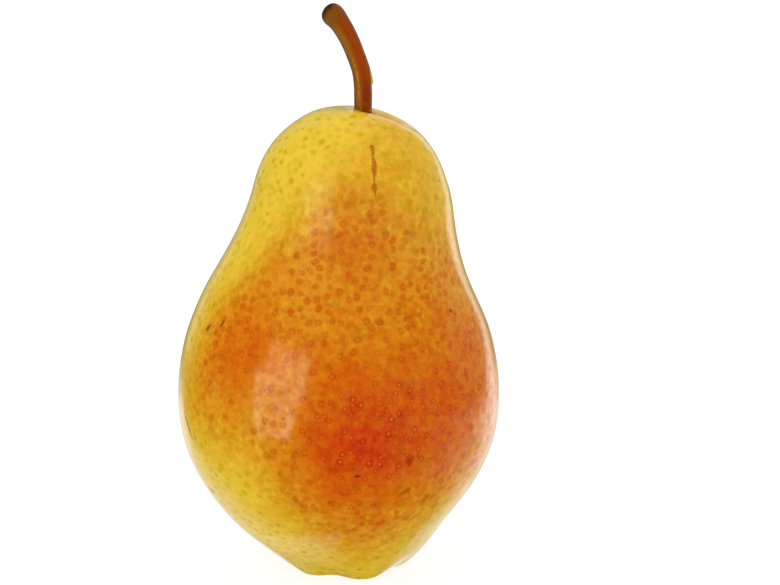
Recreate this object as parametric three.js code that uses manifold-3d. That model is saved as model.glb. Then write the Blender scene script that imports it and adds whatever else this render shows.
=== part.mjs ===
// A ripe pear standing on its base, with its stem and its dried calyx.
// Millimetres, +Z up. The origin is on the ground under the middle of the belly.
// The flesh and skin are one solid: a meridian turned round the core line, then bent off true
// by the leaning neck, the sloping crown and the five lobes round the calyx basin.

import * as THREE from 'three';
import * as BufferGeometryUtils from 'three/addons/utils/BufferGeometryUtils.js';
import Module from 'manifold-3d';

const wasm = await Module();
wasm.setup();

const EPSILON = 1e-5;
const FIT_GAP = 0.3;
const DEGREES = Math.PI / 180;

// Meridian of the fruit as [radius, height], from the floor of the calyx basin, out over the
// foot and the belly, up the neck and in to the crown.
const MERIDIAN = [
  [0, 6.2], [3.4, 5.0], [6.4, 1.3], [8.8, -0.2], [12.2, 1.4], [19.0, 7.8], [26.7, 17.5],
  [31.0, 27.5], [31.9, 37.0], [29.8, 49.0], [25.0, 60.0], [21.2, 69.5], [19.2, 77.0],
  [16.4, 84.2], [12.0, 89.2], [7.2, 92.0], [0, 92.65],
];
const MERIDIAN_STEPS = 50;
const ROUND_STEPS = 60;
const END_CROWDING = 0.5;

// How the neck leans, and how the foot sits to one side of the belly.
const NECK = { shift: 2.6, from: 56, to: 78 };
const CROWN = { shift: 0.6, from: 78, to: 91 };
const FOOT = { shift: 1.9, from: 0, to: 12 };

// The crown slopes down to one side, and the stem stands at the end of a shallow trough.
const CROWN_SLOPE = { rate: 0.045, azimuth: 10 * DEGREES, from: 74, to: 88 };
const TROUGH = { x: 9.6, y: -0.1, depth: 2.4, length: 4.0, width: 3.2, from: 80, to: 88 };

// Five lobes round the basin. Their low points are trimmed by the ground to small flat spots.
const LOBES = { count: 5, azimuth: -70 * DEGREES, swell: 0.035, drop: 0.45 };
const LOBE_HEIGHT = { from: 2, to: 15 };
const LOBE_FOOT = { from: 0, to: 5 };
const LOBE_RADIUS = { from: 3, full: 9, swellFrom: 4, swellFull: 14 };

// The belly is a little wider one way than the other.
const OVAL = { rate: 0.006, azimuth: 35 * DEGREES };
const BELLY = { from: 8, full: 30, fading: 45, end: 70 };

// Centre line of the stem as [x, y, z], from inside the crown to the swollen end.
const STEM_LINE = [
  [5.0, 0.9, 86.5], [5.0, 1.0, 92.5], [4.95, 1.1, 96.7], [4.58, 1.2, 99.8], [3.6, 1.4, 102.8],
  [2.35, 1.6, 105.8], [1.2, 1.8, 107.9], [-0.25, 2.0, 109.95], [-2.4, 2.3, 111.95],
];
// Radius of the stem as [radius, distance along it], closing in a dome at its swollen end.
const STEM_RADIUS = [
  [0, 0], [1.2, 0.05], [1.62, 0.6], [1.68, 2.2], [1.68, 6.6], [1.7, 11.8], [1.74, 16.2],
  [1.8, 19.8], [1.88, 22.2], [2.02, 24.2], [2.2, 25.8], [1.85, 27.0], [1.0, 27.7], [0, 27.9],
];
const STEM_LENGTH = STEM_RADIUS[STEM_RADIUS.length - 1][1];
const STEM_STEPS = 44;
const STEM_ROUND_STEPS = 30;
const STEM_RIDGES = { count: 5, azimuth: -118 * DEGREES, height: 0.12 };
// Scar of a fallen bract on the side of the stem: an abrupt step that fades upwards.
const BRACT = { share: 0.39, below: 0.015, above: 0.09, azimuth: 0, width: 0.5, height: 0.42 };
// Ridges and scar fade out where the stem closes to a point at each end.
const STEM_RELIEF = { from: 0.4, full: 1.4 };
const STEM_CURVE_POINTS = 200;
// The stem's root stands in a blind socket, which is cut from above the crown.
const STEM_ROOT_RADIUS = 1.82;
const SOCKET_CUT_TOP = 96;

// Dried calyx in the basin: a low cup on a short root, with five curled sepals.
const CALYX_CENTRE = { x: 1.9, y: 0 };
const CALYX_CUP = [
  [0, 4.3], [1.8, 4.1], [2.3, 3.3], [3.0, 3.6], [2.9, 4.4], [2.1, 5.2], [1.9, 7.2], [0, 7.2],
];
const CALYX_ROOT = { radius: 2.1, top: 7.2 };
const CALYX_ROUND_STEPS = 30;
const SEPALS = 5;
const SEPAL = {
  azimuth: -34 * DEGREES,
  thickness: 0.75,
  width: 2.6,
  tipWidth: 0.7,
  widest: 0.3,
  cup: 0.35,
  start: { radius: 2.2, height: 4.0 },
  middle: { radius: 3.4, height: 2.0 },
  end: { radius: 5.0, height: 0.9 },
  lengthSteps: 9,
  widthSteps: 6,
};

const clamp = THREE.MathUtils.clamp;
const smoothstep = THREE.MathUtils.smoothstep;

// Points on a natural cubic spline through the given points, at the given shares of its length.
function naturalSpline(points, shares) {
  const last = points.length - 1;
  const size = points[0].length;
  const knots = [0];
  for (let i = 1; i <= last; i++) {
    knots.push(knots[i - 1] + Math.hypot(...points[i].map((value, axis) => value - points[i - 1][axis])));
  }
  const spans = knots.slice(1).map((knot, i) => knot - knots[i]);
  const bends = points.map(() => new Array(size).fill(0));
  for (let axis = 0; axis < size; axis++) {
    const ratio = [0];
    const carried = [0];
    for (let i = 1; i < last; i++) {
      const pivot = 2 * (spans[i - 1] + spans[i]) - spans[i - 1] * ratio[i - 1];
      const rise = (points[i + 1][axis] - points[i][axis]) / spans[i];
      const fall = (points[i][axis] - points[i - 1][axis]) / spans[i - 1];
      ratio.push(spans[i] / pivot);
      carried.push((6 * (rise - fall) - spans[i - 1] * carried[i - 1]) / pivot);
    }
    for (let i = last - 1; i > 0; i--) {
      bends[i][axis] = carried[i] - ratio[i] * bends[i + 1][axis];
    }
  }
  return shares.map((share) => {
    const along = share * knots[last];
    let i = 0;
    while (i < last - 1 && along > knots[i + 1]) i++;
    const a = (knots[i + 1] - along) / spans[i];
    const b = (along - knots[i]) / spans[i];
    return points[i].map((value, axis) => {
      const curve = (a ** 3 - a) * bends[i][axis] + (b ** 3 - b) * bends[i + 1][axis];
      return a * value + b * points[i + 1][axis] + curve * spans[i] ** 2 / 6;
    });
  });
}

function evenShares(steps) {
  return Array.from({ length: steps + 1 }, (unused, i) => i / steps);
}

// Shares that crowd towards both ends of a line.
function crowdedShares(steps) {
  return evenShares(steps).map((f) => f - END_CROWDING * Math.sin(2 * Math.PI * f) / (2 * Math.PI));
}

// Turns a [radius, height] outline round +Z.
function turned(outline, roundSteps) {
  const profile = outline.map(([radius, height]) => new THREE.Vector2(Math.max(radius, 0), height));
  const geometry = new THREE.LatheGeometry(profile, roundSteps);
  geometry.rotateX(Math.PI / 2);
  return geometry;
}

// Moves every vertex of a geometry by a function of its place.
function reshape(geometry, place) {
  const position = geometry.getAttribute('position');
  const point = new THREE.Vector3();
  for (let i = 0; i < position.count; i++) {
    point.fromBufferAttribute(position, i);
    place(point);
    position.setXYZ(i, point.x, point.y, point.z);
  }
  return geometry;
}

// Joins shared vertices and drops triangles that have shrunk to a line.
function welded(geometry) {
  const bare = geometry.clone();
  bare.deleteAttribute('normal');
  bare.deleteAttribute('uv');
  const merged = BufferGeometryUtils.mergeVertices(bare, EPSILON);
  const index = merged.getIndex().array;
  const kept = [];
  for (let i = 0; i < index.length; i += 3) {
    const [a, b, c] = [index[i], index[i + 1], index[i + 2]];
    if (a !== b && b !== c && c !== a) kept.push(a, b, c);
  }
  merged.setIndex(kept);
  return merged;
}

function toSolid(geometry) {
  const merged = welded(geometry);
  const mesh = new wasm.Mesh({
    numProp: 3,
    vertProperties: new Float32Array(merged.getAttribute('position').array),
    triVerts: new Uint32Array(merged.getIndex().array),
  });
  return new wasm.Manifold(mesh);
}

function toGeometry(solid) {
  const mesh = solid.getMesh();
  const geometry = new THREE.BufferGeometry();
  geometry.setAttribute('position', new THREE.BufferAttribute(new Float32Array(mesh.vertProperties), 3));
  geometry.setIndex(new THREE.BufferAttribute(new Uint32Array(mesh.triVerts), 1));
  return geometry;
}

// Bends a point of the plain turned fruit to its place on the real one.
function fruitPlace(point) {
  const radius = Math.hypot(point.x, point.y);
  const azimuth = Math.atan2(point.y, point.x);
  const height = point.z;
  const lobe = Math.cos(LOBES.count * (azimuth - LOBES.azimuth));
  const lobeSwell = LOBES.swell * lobe * (1 - smoothstep(height, LOBE_HEIGHT.from, LOBE_HEIGHT.to))
    * smoothstep(radius, LOBE_RADIUS.swellFrom, LOBE_RADIUS.swellFull);
  const belly = smoothstep(height, BELLY.from, BELLY.full)
    * (1 - smoothstep(height, BELLY.fading, BELLY.end));
  const oval = OVAL.rate * Math.cos(2 * (azimuth - OVAL.azimuth)) * belly;
  const wide = radius * (1 + lobeSwell + oval);
  const shift = NECK.shift * smoothstep(height, NECK.from, NECK.to)
    + CROWN.shift * smoothstep(height, CROWN.from, CROWN.to)
    + FOOT.shift * (1 - smoothstep(height, FOOT.from, FOOT.to));
  point.x = shift + wide * Math.cos(azimuth);
  point.y = wide * Math.sin(azimuth);
  const slope = CROWN_SLOPE.rate * wide * Math.cos(azimuth - CROWN_SLOPE.azimuth)
    * smoothstep(height, CROWN_SLOPE.from, CROWN_SLOPE.to);
  const away = Math.hypot((point.x - TROUGH.x) / TROUGH.length, (point.y - TROUGH.y) / TROUGH.width);
  const trough = TROUGH.depth * Math.exp(-away * away) * smoothstep(height, TROUGH.from, TROUGH.to);
  const lobeDrop = LOBES.drop * lobe * (1 - smoothstep(height, LOBE_FOOT.from, LOBE_FOOT.to))
    * smoothstep(radius, LOBE_RADIUS.from, LOBE_RADIUS.full);
  point.z = Math.max(height - slope - trough - lobeDrop, 0);
}

function fruitSolid() {
  const outline = naturalSpline(MERIDIAN, crowdedShares(MERIDIAN_STEPS));
  return toSolid(reshape(turned(outline, ROUND_STEPS), fruitPlace));
}

// Bends a straight form standing on z = 0 to 1 along the stem's centre line.
function bendAlongStem(geometry) {
  const last = STEM_CURVE_POINTS;
  const curve = naturalSpline(STEM_LINE, evenShares(last)).map((p) => new THREE.Vector3(...p));
  const forward = new THREE.Vector3();
  const side = new THREE.Vector3();
  const across = new THREE.Vector3();
  const depthAxis = new THREE.Vector3(0, 1, 0);
  return reshape(geometry, (point) => {
    const along = clamp(point.z, 0, 1) * last;
    const i = Math.min(Math.floor(along), last - 1);
    forward.subVectors(curve[i + 1], curve[i]);
    const centre = curve[i].clone().addScaledVector(forward, along - i);
    forward.normalize();
    side.crossVectors(depthAxis, forward).normalize();
    across.crossVectors(forward, side);
    const { x, y } = point;
    point.copy(centre).addScaledVector(side, x).addScaledVector(across, y);
  });
}

// Ridges and the bract scar swell the straight stem before it is bent.
function stemSurface() {
  const shares = crowdedShares(STEM_STEPS);
  const outline = naturalSpline(STEM_RADIUS, shares);
  outline.forEach((pair) => {
    pair[0] = Math.max(pair[0], 0);
    pair[1] = clamp(pair[1] / STEM_LENGTH, 0, 1);
  });
  return reshape(turned(outline, STEM_ROUND_STEPS), (point) => {
    const radius = Math.hypot(point.x, point.y);
    if (radius < EPSILON) return;
    const azimuth = Math.atan2(point.y, point.x);
    const ridge = STEM_RIDGES.height * Math.cos(STEM_RIDGES.count * (azimuth - STEM_RIDGES.azimuth));
    const beyond = point.z - BRACT.share;
    const along = beyond / (beyond > 0 ? BRACT.above : BRACT.below);
    const round = (azimuth - BRACT.azimuth) / BRACT.width;
    const scar = BRACT.height * Math.exp(-along * along - round * round);
    const grown = radius + (ridge + scar) * smoothstep(radius, STEM_RELIEF.from, STEM_RELIEF.full);
    point.x *= grown / radius;
    point.y *= grown / radius;
  });
}

function stemSolid() {
  return toSolid(bendAlongStem(stemSurface()));
}

// The blind socket in the crown that the stem's root stands in.
function stemSocket() {
  const [x, y, bottom] = STEM_LINE[0];
  const radius = STEM_ROOT_RADIUS + FIT_GAP;
  const floor = bottom - FIT_GAP;
  const outline = [[0, floor], [radius, floor], [radius, SOCKET_CUT_TOP], [0, SOCKET_CUT_TOP]];
  const geometry = turned(outline, STEM_ROUND_STEPS);
  geometry.translate(x, y, 0);
  return toSolid(geometry);
}

// One dried sepal: a blade that runs out and down from the cup, cupped across its width.
function sepalSolid(azimuth) {
  const path = new THREE.QuadraticBezierCurve(
    new THREE.Vector2(SEPAL.start.radius, SEPAL.start.height),
    new THREE.Vector2(SEPAL.middle.radius, SEPAL.middle.height),
    new THREE.Vector2(SEPAL.end.radius, SEPAL.end.height),
  );
  const blade = new THREE.BoxGeometry(1, 1, 1, SEPAL.lengthSteps, SEPAL.widthSteps, 1);
  reshape(blade, (point) => {
    const share = point.x + 0.5;
    const across = point.y * 2;
    const centre = path.getPoint(share);
    const tangent = path.getTangent(share);
    const taper = Math.max(share - SEPAL.widest, 0) / (1 - SEPAL.widest);
    const half = THREE.MathUtils.lerp(SEPAL.width, SEPAL.tipWidth, taper * taper) / 2;
    const lift = point.z * SEPAL.thickness + SEPAL.cup * across * across;
    point.set(centre.x - tangent.y * lift, across * half, centre.y + tangent.x * lift);
  });
  blade.rotateZ(azimuth);
  blade.translate(CALYX_CENTRE.x, CALYX_CENTRE.y, 0);
  return toSolid(blade);
}

function calyxSolid() {
  const cup = turned(CALYX_CUP, CALYX_ROUND_STEPS);
  cup.translate(CALYX_CENTRE.x, CALYX_CENTRE.y, 0);
  let solid = toSolid(cup);
  for (let i = 0; i < SEPALS; i++) {
    solid = solid.add(sepalSolid(SEPAL.azimuth + i * 2 * Math.PI / SEPALS));
  }
  return solid;
}

// The blind socket over the basin that the calyx is rooted in.
function calyxSocket() {
  const radius = CALYX_ROOT.radius + FIT_GAP;
  const top = CALYX_ROOT.top + FIT_GAP;
  const geometry = turned([[0, 0], [radius, 0], [radius, top], [0, top]], CALYX_ROUND_STEPS);
  geometry.translate(CALYX_CENTRE.x, CALYX_CENTRE.y, 0);
  return toSolid(geometry);
}

function namedMesh(name, solid, color, roughness) {
  const material = new THREE.MeshStandardMaterial({ color, roughness, metalness: 0 });
  const mesh = new THREE.Mesh(toGeometry(solid), material);
  mesh.name = name;
  return mesh;
}

function buildPear() {
  const fruit = fruitSolid().subtract(stemSocket()).subtract(calyxSocket());
  const pear = new THREE.Group();
  pear.name = 'pear';
  pear.add(namedMesh('fruit_body', fruit, 0xdca02a, 0.35));
  pear.add(namedMesh('stem', stemSolid(), 0x8a4310, 0.5));
  pear.add(namedMesh('calyx', calyxSolid(), 0x4a3322, 0.85));
  return pear;
}

export default buildPear();
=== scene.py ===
"""A ripe pear with a curved stem and a dried calyx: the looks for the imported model.

The fruit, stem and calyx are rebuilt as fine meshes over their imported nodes, from the same
formulas and driving dimensions. Shapes are worked out in millimetres and stored in metres.
"""
import math
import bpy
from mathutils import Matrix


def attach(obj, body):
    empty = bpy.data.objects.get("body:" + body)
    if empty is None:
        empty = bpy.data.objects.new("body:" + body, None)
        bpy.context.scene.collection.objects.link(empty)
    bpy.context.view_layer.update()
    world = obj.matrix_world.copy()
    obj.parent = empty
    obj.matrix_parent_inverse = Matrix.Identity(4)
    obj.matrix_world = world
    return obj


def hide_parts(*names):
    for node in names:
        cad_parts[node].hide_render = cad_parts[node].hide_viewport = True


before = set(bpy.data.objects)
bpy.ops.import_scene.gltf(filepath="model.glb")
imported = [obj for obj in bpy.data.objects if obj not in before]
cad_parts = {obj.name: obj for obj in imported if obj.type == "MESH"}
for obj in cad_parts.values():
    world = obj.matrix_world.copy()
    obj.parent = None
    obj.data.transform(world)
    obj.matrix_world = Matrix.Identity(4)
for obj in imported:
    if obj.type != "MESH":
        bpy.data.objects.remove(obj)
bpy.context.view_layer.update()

from types import SimpleNamespace

import bmesh
import bpy
import numpy as np
from mathutils import Quaternion, Vector, kdtree, noise

MM = 0.001
SEED = 41

# ---------------------------------------------------------------- driving dimensions, mm

MERIDIAN = [
    (0, 6.2), (3.4, 5.0), (6.4, 1.3), (8.8, -0.2), (12.2, 1.4), (19.0, 7.8), (26.7, 17.5),
    (31.0, 27.5), (31.9, 37.0), (29.8, 49.0), (25.0, 60.0), (21.2, 69.5), (19.2, 77.0),
    (16.4, 84.2), (12.0, 89.2), (7.2, 92.0), (0, 92.65),
]
MERIDIAN_STEPS = 236
ROUND_STEPS = 384
END_CROWDING = 0.5

NECK_SHIFT, NECK_HEIGHTS = 2.6, (56, 78)
CROWN_SHIFT, CROWN_HEIGHTS = 0.6, (78, 91)
FOOT_SHIFT, FOOT_HEIGHTS = 1.9, (0, 12)
SLOPE_RATE, SLOPE_AZIMUTH, SLOPE_HEIGHTS = 0.045, math.radians(10), (74, 88)
TROUGH_X, TROUGH_Y, TROUGH_DEPTH, TROUGH_LENGTH, TROUGH_WIDTH = 9.6, -0.1, 2.4, 4.0, 3.2
TROUGH_HEIGHTS = (80, 88)
LOBE_COUNT, LOBE_AZIMUTH, LOBE_SWELL, LOBE_DROP = 5, math.radians(-70), 0.035, 0.45
LOBE_HEIGHTS, LOBE_SWELL_RADII = (2, 15), (4, 14)
LOBE_FOOT_HEIGHTS, LOBE_DROP_RADII = (0, 5), (3, 9)
OVAL_RATE, OVAL_AZIMUTH = 0.006, math.radians(35)
BELLY_RISE, BELLY_FALL = (8, 30), (45, 70)

# Broad unevenness of the flesh and fine unevenness of the skin: wavelength, height.
FLESH_WAVES = ((17.0, 0.22), (7.0, 0.05))
SKIN_WAVES = ((2.6, 0.010),)

STEM_LINE = [
    (5.0, 0.9, 86.5), (5.0, 1.0, 92.5), (4.95, 1.1, 96.7), (4.58, 1.2, 99.8), (3.6, 1.4, 102.8),
    (2.35, 1.6, 105.8), (1.2, 1.8, 107.9), (-0.25, 2.0, 109.95), (-2.4, 2.3, 111.95),
]
STEM_RADIUS = [
    (0, 0), (1.2, 0.05), (1.62, 0.6), (1.68, 2.2), (1.68, 6.6), (1.7, 11.8), (1.74, 16.2),
    (1.8, 19.8), (1.88, 22.2), (2.02, 24.2), (2.2, 25.8), (1.85, 27.0), (1.0, 27.7), (0, 27.9),
]
STEM_LENGTH = STEM_RADIUS[-1][1]
STEM_STEPS = 260
STEM_ROUND_STEPS = 96
STEM_THINNEST, STEM_TANGENT_STEP = 0.02, 1e-3
STEM_RIDGES, STEM_RIDGE_AZIMUTH, STEM_RIDGE_HEIGHT = 5, math.radians(-118), 0.12
STEM_RELIEF_RADII = (0.4, 1.4)
BRACT_SHARE, BRACT_BELOW, BRACT_ABOVE = 0.39, 0.006, 0.09
BRACT_WIDTH, BRACT_HEIGHT = 0.5, 0.42

CALYX_X = 1.9
CALYX_CUP = [
    (0, 4.3), (1.8, 4.1), (2.3, 3.3), (3.0, 3.6), (2.9, 4.4), (2.1, 5.2), (1.9, 7.2), (0, 7.2),
]
CUP_ROWS, CUP_COLUMNS = 60, 121
CUP_WAVES = ((5, 0.6, 0.035), (13, 0.0, 0.018))
CUP_RIM_WAVES, CUP_RIM_HEIGHT, CUP_RIM_RADII = 7, 0.10, (1.2, 2.6)

# A sepal: its middle line as (radius, height), its widths, and how it curls and crumples.
SEPALS = 5
SEPAL_AZIMUTH = math.radians(-34)
SEPAL_ROWS, SEPAL_COLUMNS = 34, 23
SEPAL_START, SEPAL_BEND, SEPAL_END = (2.2, 4.0), (3.4, 2.0), (5.0, 0.95)
SEPAL_HALF_WIDTH, SEPAL_TIP_HALF_WIDTH, SEPAL_WIDEST, SEPAL_TAPER = 1.3, 0.10, 0.3, 1.4
SEPAL_EDGE_WAVES, SEPAL_EDGE_WAVE = 9, 0.10
SEPAL_CURL, SEPAL_TWIST = 0.38, 0.35
SEPAL_WRINKLES, SEPAL_WRINKLE = 5.5, 0.07
SEPAL_VEIN, SEPAL_VEIN_WIDTH = 0.10, 0.10
SEPAL_HALF_THICKNESS = 0.19
SEPAL_TIP_LIFTS, SEPAL_LOWEST = (-0.2, 0.5), 0.25

# Withered threads that hang from the cup: stamens, which bend over, round a ring of styles.
THREAD_ROWS, THREAD_SIDES, THREAD_SIDEWAYS = 12, 8, (0.3, 0.9, 0.2)
STAMENS, STAMEN_TOP, STAMEN_SWAY = 14, 4.25, 0.8
STAMEN_STARTS, STAMEN_LEANS, STAMEN_LENGTHS = (0.9, 1.7), (-0.5, 1.1), (1.2, 2.3)
STAMEN_RADIUS, STAMEN_TAPER, STAMEN_TIP = 0.10, 0.3, (0.19, 0.17, 0.02)
STYLES, STYLE_TOP, STYLE_LENGTH, STYLE_OFFSET = 5, 4.3, 1.5, 0.35
STYLE_RADIUS, STYLE_TIP = 0.16, 0.03

# ---------------------------------------------------------------- tolerances, m

WELD_DISTANCE = 1e-7

# ---------------------------------------------------------------- camera, as the photograph

CAMERA_LENS_MM = 105.0
CAMERA_DISTANCE = 450.0
CAMERA_HEIGHT_ANGLE = math.radians(12)
CAMERA_TARGET = (10.2, 0.0, 56.0)
CAMERA_CLIP_START = 0.01


def add_object(name, data):
    added = bpy.data.objects.new(name, data)
    bpy.context.scene.collection.objects.link(added)
    return added


def add_camera():
    data = bpy.data.cameras.new("camera")
    data.lens = CAMERA_LENS_MM
    data.clip_start = CAMERA_CLIP_START
    camera = add_object("camera", data)
    back = Vector((0, -math.cos(CAMERA_HEIGHT_ANGLE), math.sin(CAMERA_HEIGHT_ANGLE)))
    camera.location = (Vector(CAMERA_TARGET) + back * CAMERA_DISTANCE) * MM
    camera.rotation_mode = "QUATERNION"
    camera.rotation_quaternion = (-back).to_track_quat("-Z", "Y")
    bpy.context.scene.camera = camera


# ---------------------------------------------------------------- shape helpers

def smoothstep(value, low, high):
    t = np.clip((value - low) / (high - low), 0, 1)
    return t * t * (3 - 2 * t)


def natural_spline(points, shares):
    """Points on a natural cubic spline at the given shares of its chord length."""
    points = np.array(points, float)
    last = len(points) - 1
    spans = np.linalg.norm(np.diff(points, axis=0), axis=1)
    knots = np.concatenate([[0], np.cumsum(spans)])
    system = np.eye(last + 1)
    right = np.zeros_like(points)
    for i in range(1, last):
        system[i, i - 1:i + 2] = spans[i - 1], 2 * (spans[i - 1] + spans[i]), spans[i]
        rise = (points[i + 1] - points[i]) / spans[i]
        fall = (points[i] - points[i - 1]) / spans[i - 1]
        right[i] = 6 * (rise - fall)
    bends = np.linalg.solve(system, right)
    along = np.asarray(shares) * knots[-1]
    k = np.clip(np.searchsorted(knots, along, side="right") - 1, 0, last - 1)
    a = ((knots[k + 1] - along) / spans[k])[:, None]
    b = ((along - knots[k]) / spans[k])[:, None]
    curve = (a ** 3 - a) * bends[k] + (b ** 3 - b) * bends[k + 1]
    return a * points[k] + b * points[k + 1] + curve * (spans[k] ** 2)[:, None] / 6


def crowded_shares(steps):
    f = np.linspace(0, 1, steps + 1)
    return f - END_CROWDING * np.sin(2 * math.pi * f) / (2 * math.pi)


def ring_mesh(name, rings, bottom, top):
    """A closed mesh from rings (n, m, 3) in mm, with a pole point at each end."""
    n, m, _ = rings.shape
    points = np.concatenate([rings.reshape(-1, 3), [bottom], [top]]) * MM
    across = np.arange(m)
    after = (across + 1) % m
    faces = []
    for i in range(n - 1):
        low, high = i * m, (i + 1) * m
        faces += np.stack([low + across, low + after, high + after, high + across], 1).tolist()
    first, second = n * m, n * m + 1
    faces += [(first, int(b), int(a)) for a, b in zip(across, after)]
    faces += [(second, int((n - 1) * m + a), int((n - 1) * m + b)) for a, b in zip(across, after)]
    mesh = bpy.data.meshes.new(name)
    mesh.from_pydata(points.tolist(), [], faces)
    mesh.shade_smooth()
    return mesh


def weld(mesh):
    """Joins points that share a place, and turns every face outwards."""
    work = bmesh.new()
    work.from_mesh(mesh)
    bmesh.ops.remove_doubles(work, verts=work.verts, dist=WELD_DISTANCE)
    bmesh.ops.dissolve_degenerate(work, edges=work.edges, dist=WELD_DISTANCE)
    bmesh.ops.recalc_face_normals(work, faces=work.faces)
    work.to_mesh(mesh)
    work.free()


def read_vectors(items, field):
    flat = np.empty(len(items) * 3, np.float32)
    items.foreach_get(field, flat)
    return flat.reshape(-1, 3).astype(float)


def mesh_points(mesh):
    return read_vectors(mesh.vertices, "co")


def mesh_normals(mesh):
    return read_vectors(mesh.vertex_normals, "vector")


def set_points(mesh, points):
    mesh.vertices.foreach_set("co", points.astype(np.float32).ravel())
    mesh.update()


def add_piece(name, mesh, node, material):
    piece = add_object(name, mesh)
    mesh.materials.append(material)
    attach(piece, "root")
    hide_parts(node)
    return piece


def store(mesh, name, domain, values):
    """Gives every point or face of a mesh a number, or a vector."""
    kind, field = ("FLOAT", "value") if np.ndim(values) == 1 else ("FLOAT_VECTOR", "vector")
    attribute = mesh.attributes.new(name, kind, domain)
    attribute.data.foreach_set(field, np.asarray(values, np.float32).ravel())


def wave_field(points, waves, seed):
    """Sum of smooth noise at several wavelengths, for points in mm."""
    total = np.zeros(len(points))
    for index, (length, height) in enumerate(waves):
        offset = Vector((seed * 7.3 + index * 31.7, index * 11.9, seed * 3.1))
        total += height * np.array([noise.noise(Vector(p) / length + offset) for p in points])
    return total


# ---------------------------------------------------------------- the fruit

def fruit_place(radius, height, azimuth):
    """Bends the plain turned fruit off true. Returns x, y, z in mm."""
    lobe = np.cos(LOBE_COUNT * (azimuth - LOBE_AZIMUTH))
    swell = (LOBE_SWELL * lobe * (1 - smoothstep(height, *LOBE_HEIGHTS))
             * smoothstep(radius, *LOBE_SWELL_RADII))
    belly = smoothstep(height, *BELLY_RISE) * (1 - smoothstep(height, *BELLY_FALL))
    oval = OVAL_RATE * np.cos(2 * (azimuth - OVAL_AZIMUTH)) * belly
    wide = radius * (1 + swell + oval)
    shift = (NECK_SHIFT * smoothstep(height, *NECK_HEIGHTS)
             + CROWN_SHIFT * smoothstep(height, *CROWN_HEIGHTS)
             + FOOT_SHIFT * (1 - smoothstep(height, *FOOT_HEIGHTS)))
    x = shift + wide * np.cos(azimuth)
    y = wide * np.sin(azimuth)
    slope = SLOPE_RATE * wide * np.cos(azimuth - SLOPE_AZIMUTH)
    slope = slope * smoothstep(height, *SLOPE_HEIGHTS)
    away = ((x - TROUGH_X) / TROUGH_LENGTH) ** 2 + ((y - TROUGH_Y) / TROUGH_WIDTH) ** 2
    trough = TROUGH_DEPTH * np.exp(-away) * smoothstep(height, *TROUGH_HEIGHTS)
    drop = (LOBE_DROP * lobe * (1 - smoothstep(height, *LOBE_FOOT_HEIGHTS))
            * smoothstep(radius, *LOBE_DROP_RADII))
    z = height - slope - trough - drop
    return x, y, z


def fruit_mesh():
    outline = natural_spline(MERIDIAN, crowded_shares(MERIDIAN_STEPS))
    azimuth = np.linspace(0, 2 * math.pi, ROUND_STEPS, endpoint=False)[None, :]
    inner = outline[1:-1]
    rings = np.stack(fruit_place(inner[:, :1], inner[:, 1:], azimuth), -1)
    ends = [np.array(fruit_place(np.zeros(1), outline[i, 1:], np.zeros(1))).T[0] for i in (0, -1)]
    mesh = ring_mesh("fruit", rings, ends[0], ends[1])
    points = mesh_points(mesh)
    lift = wave_field(points / MM, FLESH_WAVES + SKIN_WAVES, SEED)
    points += mesh_normals(mesh) * (lift * MM)[:, None]
    points[:, 2] = np.maximum(points[:, 2], 0)
    set_points(mesh, points)
    return mesh


# Where the blush lies: degrees round from the front (to the right), height in mm, how far it
# reaches each way, and how much it adds to the ripeness from 0, green-yellow, to 1, red.
GROUND_RIPENESS = 0.155
BLUSH = (
    (24, 42, 48, 17, 0.43),
    (9, 32.5, 28, 11.5, 0.53),
    (4, 69, 33, 11, 0.37),
    (-40, 50, 21, 11, 0.44),
    (58, 58, 26, 18, 0.23),
    (8, 18, 31, 8, 0.20),
    (58, 33, 24, 15, 0.23),
    (36, 86, 38, 9, 0.12),
    (-34, 66, 15, 11, 0.09),
    (-4, 50.5, 20, 6, 0.11),
    (-62, 38, 15, 8, 0.09),
    (16, 10, 24, 7, 0.09),
    (-2, 30, 8, 10, 0.08),
    (-13.5, 41, 6, 8, -0.06),
    (-4, 77, 15, 7, 0.05),
    (42, 29, 8, 7, 0.05),
    (-44, 34.5, 11, 7, 0.08),
    (2, 46, 9, 4, 0.07),
    (60, 36, 7, 7, -0.06),
)
BACK_TURNS = (75, 120)
BACK_CLOUDS = ((26.0, 0.09), (11.0, 0.05))


def turn_from_front(points):
    """Degrees round the leaning core from the front, positive to the right, for points in mm."""
    x, y, z = points.T
    lean = NECK_SHIFT * smoothstep(z, *NECK_HEIGHTS)
    return np.degrees(np.arctan2(y, x - lean)) + 90


def ripeness(points):
    """Ground ripeness of the skin, from 0 to 1, for points in mm."""
    z = points[:, 2]
    turn = (turn_from_front(points) + 180) % 360 - 180
    ripe = np.full(len(points), GROUND_RIPENESS)
    for centre, height, reach, rise, amount in BLUSH:
        ripe += amount * np.exp(-((turn - centre) / reach) ** 2 - ((z - height) / rise) ** 2)
    clouds = wave_field(points, BACK_CLOUDS, SEED)
    return ripe + clouds * smoothstep(np.abs(turn), *BACK_TURNS)


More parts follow.
